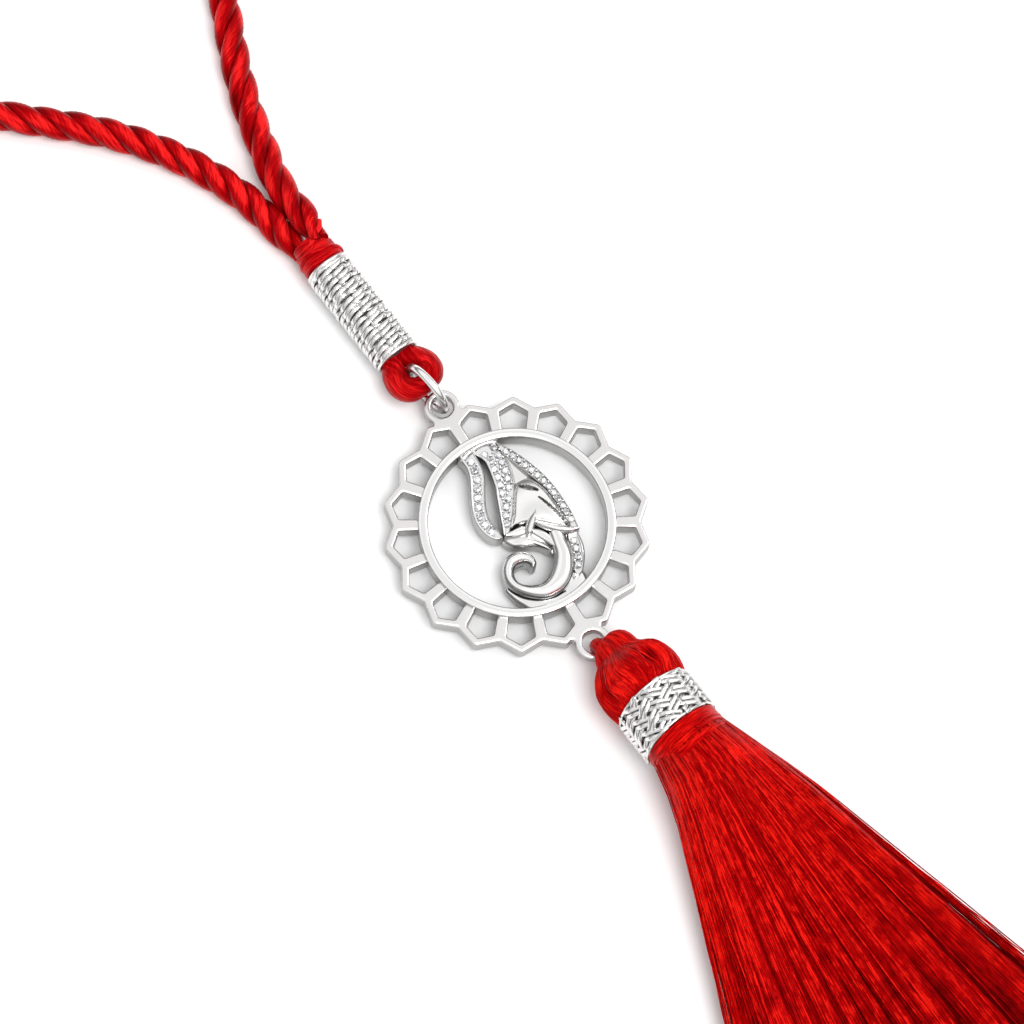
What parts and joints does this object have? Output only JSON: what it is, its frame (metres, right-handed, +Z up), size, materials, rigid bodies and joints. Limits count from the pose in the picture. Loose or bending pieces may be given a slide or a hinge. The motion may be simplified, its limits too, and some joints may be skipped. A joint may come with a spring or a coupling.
{
  "type": "lumba rakhi",
  "caption": "Festival bangle charm: red silk cord loop, pierced silver pendant with an elephant-headed figure set with clear stones, and a red silk tassel.",
  "frame": {"origin": "on the floor, under the middle of the box round everything but the cord loop", "axes": "+Y along the part from the tassel to the cord loop, +Z up out of the pendant's face, +X to the right seen from above"},
  "size_m": [0.0565, 0.1807, 0.0083],
  "materials": {
    "red_silk": "lustrous",
    "silver_thread": "metallic thread",
    "polished_silver": "polished",
    "clear_stones": "cut and polished"
  },
  "bodies": {
    "root": {"hanging_cord": "red_silk", "cord_binding": "red_silk", "silver_collar": "silver_thread", "cord_eye": "red_silk", "jump_ring": "polished_silver", "pendant": "polished_silver", "ear_band_stones": "clear_stones", "ear_leaf_stones": "clear_stones", "crest_stones": "clear_stones", "trunk_stones": "clear_stones", "tassel_loop": "red_silk", "tassel_silk": "red_silk", "tassel_band": "silver_thread", "tassel_whipping": "red_silk"}
  },
  "joints": []
}
